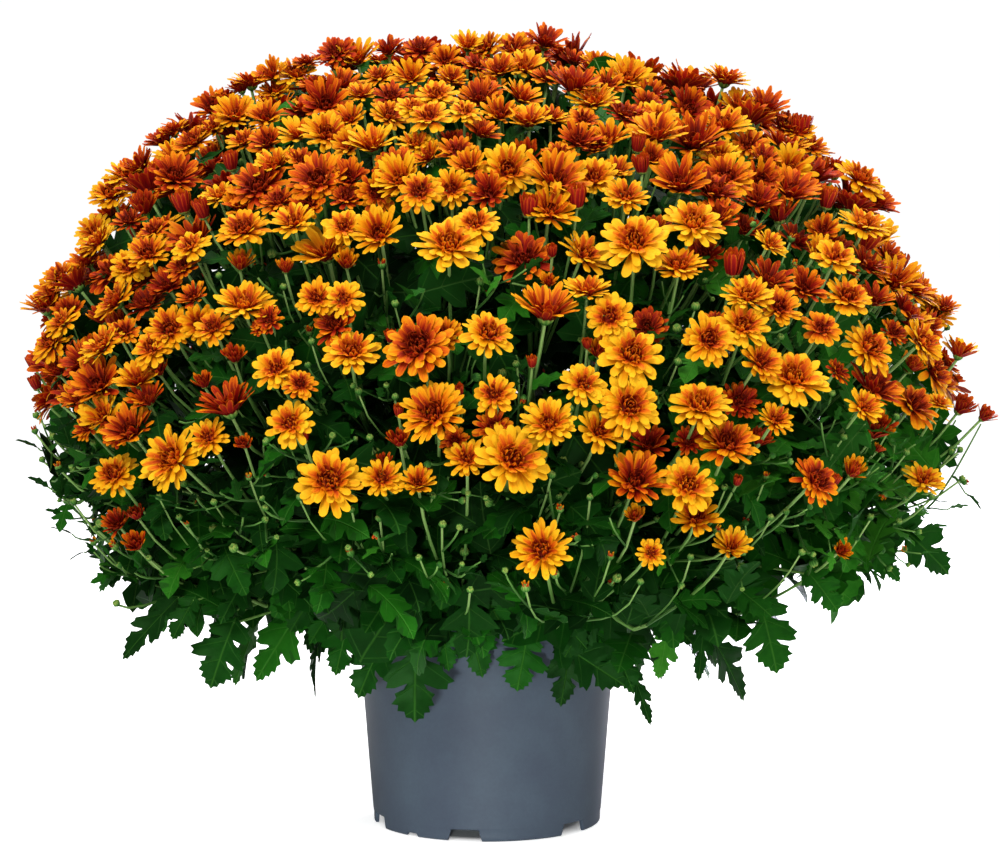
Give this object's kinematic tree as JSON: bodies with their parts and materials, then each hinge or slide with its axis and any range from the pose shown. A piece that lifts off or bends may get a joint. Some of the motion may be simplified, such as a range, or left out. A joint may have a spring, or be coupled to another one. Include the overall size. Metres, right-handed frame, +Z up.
{
  "type": "pot chrysanthemum",
  "caption": "Domed cushion chrysanthemum with semi-double yellow-orange flower heads on branching green stems, growing in a round tapered nursery pot with notched foot.",
  "frame": {"origin": "middle of the pot's base, on the surface that the pot stands on", "axes": "+Z up along the pot's axis; -Y is the side seen in the picture; +X is the viewer's right"},
  "size_m": [0.6972, 0.694, 0.5837],
  "materials": {
    "pot": "satin",
    "potting_soil": "matte",
    "crown": "matte",
    "flower_heads": "matte",
    "stems": "matte",
    "leaves": "matte"
  },
  "bodies": {
    "root": {"crown": "crown", "flower_spray_01": "flower_heads", "flower_spray_02": "flower_heads", "flower_spray_03": "flower_heads", "flower_spray_04": "flower_heads", "flower_spray_05": "flower_heads", "flower_spray_06": "flower_heads", "flower_spray_07": "flower_heads", "flower_spray_08": "flower_heads", "flower_spray_09": "flower_heads", "flower_spray_10": "flower_heads", "flower_spray_11": "flower_heads", "flower_spray_12": "flower_heads", "flower_spray_13": "flower_heads", "flower_spray_14": "flower_heads", "flower_spray_15": "flower_heads", "flower_spray_16": "flower_heads", "flower_spray_17": "flower_heads", "flower_spray_18": "flower_heads", "flower_spray_19": "flower_heads", "flower_spray_20": "flower_heads", "flower_spray_21": "flower_heads", "flower_spray_22": "flower_heads", "flower_spray_23": "flower_heads", "flowering_stem_01": "stems", "flowering_stem_02": "stems", "flowering_stem_03": "stems", "flowering_stem_04": "stems", "flowering_stem_05": "stems", "flowering_stem_06": "stems", "flowering_stem_07": "stems", "flowering_stem_08": "stems", "flowering_stem_09": "stems", "flowering_stem_10": "stems", "flowering_stem_11": "stems", "flowering_stem_12": "stems", "flowering_stem_13": "stems", "flowering_stem_14": "stems", "flowering_stem_15": "stems", "flowering_stem_16": "stems", "flowering_stem_17": "stems", "flowering_stem_18": "stems", "flowering_stem_19": "stems", "flowering_stem_20": "stems", "flowering_stem_21": "stems", "flowering_stem_22": "stems", "flowering_stem_23": "stems", "pot": "pot", "potting_soil": "potting_soil", "skirt_leaf_01": "leaves", "skirt_leaf_02": "leaves", "skirt_leaf_03": "leaves", "skirt_leaf_04": "leaves", "skirt_leaf_05": "leaves", "skirt_leaf_06": "leaves", "skirt_leaf_07": "leaves", "skirt_leaf_08": "leaves", "skirt_leaf_09": "leaves"}
  },
  "joints": []
}
